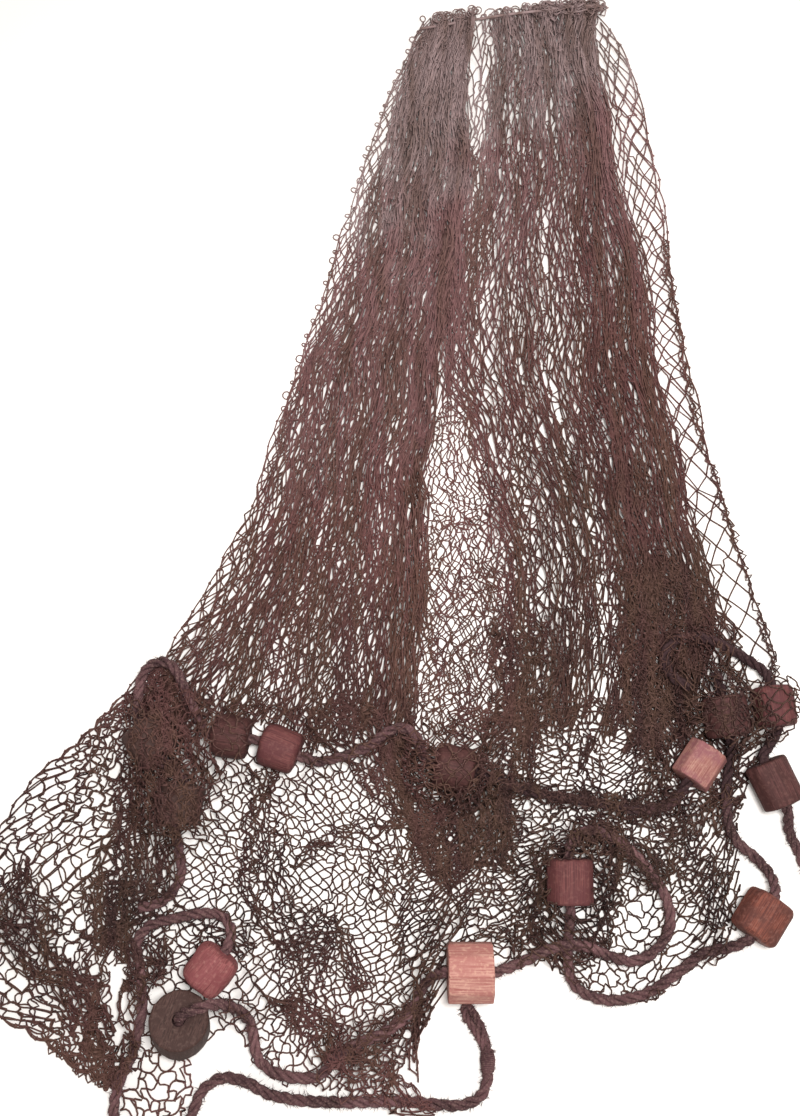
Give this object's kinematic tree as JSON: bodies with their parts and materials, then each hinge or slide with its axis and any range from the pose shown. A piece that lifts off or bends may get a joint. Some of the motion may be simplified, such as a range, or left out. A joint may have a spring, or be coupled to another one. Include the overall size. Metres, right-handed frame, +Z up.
{
  "type": "gill net with rope float line and wooden floats",
  "caption": "Knotted fishing net gathered at one end and spread flat at the other, with a laid rope and squat wooden floats threaded along its foot",
  "frame": {"origin": "on the floor under the middle of the laid net and its floats (bottom centre of their box, the rope lengths and the rope eye not counted)", "axes": "+Z is up from the surface the net lies on, +Y runs from the spread foot with the rope to the gathered head, +X to the right of someone who stands at the foot and looks at the head"},
  "size_m": [0.7519, 1.1127, 0.0651],
  "materials": {
    "tarred_twine": "matte, rough",
    "laid_rope": "matte, hairy",
    "stained_wood": "worn stain"
  },
  "bodies": {
    "root": {"netting": "tarred_twine", "float_01": "stained_wood", "float_02": "stained_wood", "float_03": "stained_wood", "float_04": "stained_wood", "float_05": "stained_wood", "float_06": "stained_wood", "float_07": "stained_wood", "float_08": "stained_wood", "float_09": "stained_wood", "float_10": "stained_wood", "float_11": "stained_wood", "float_12": "stained_wood", "float_13": "stained_wood", "float_14": "stained_wood", "rope_tail": "laid_rope", "rope_left": "laid_rope", "rope_right": "laid_rope", "rope_foot": "laid_rope", "rope_eye": "laid_rope"}
  },
  "joints": []
}
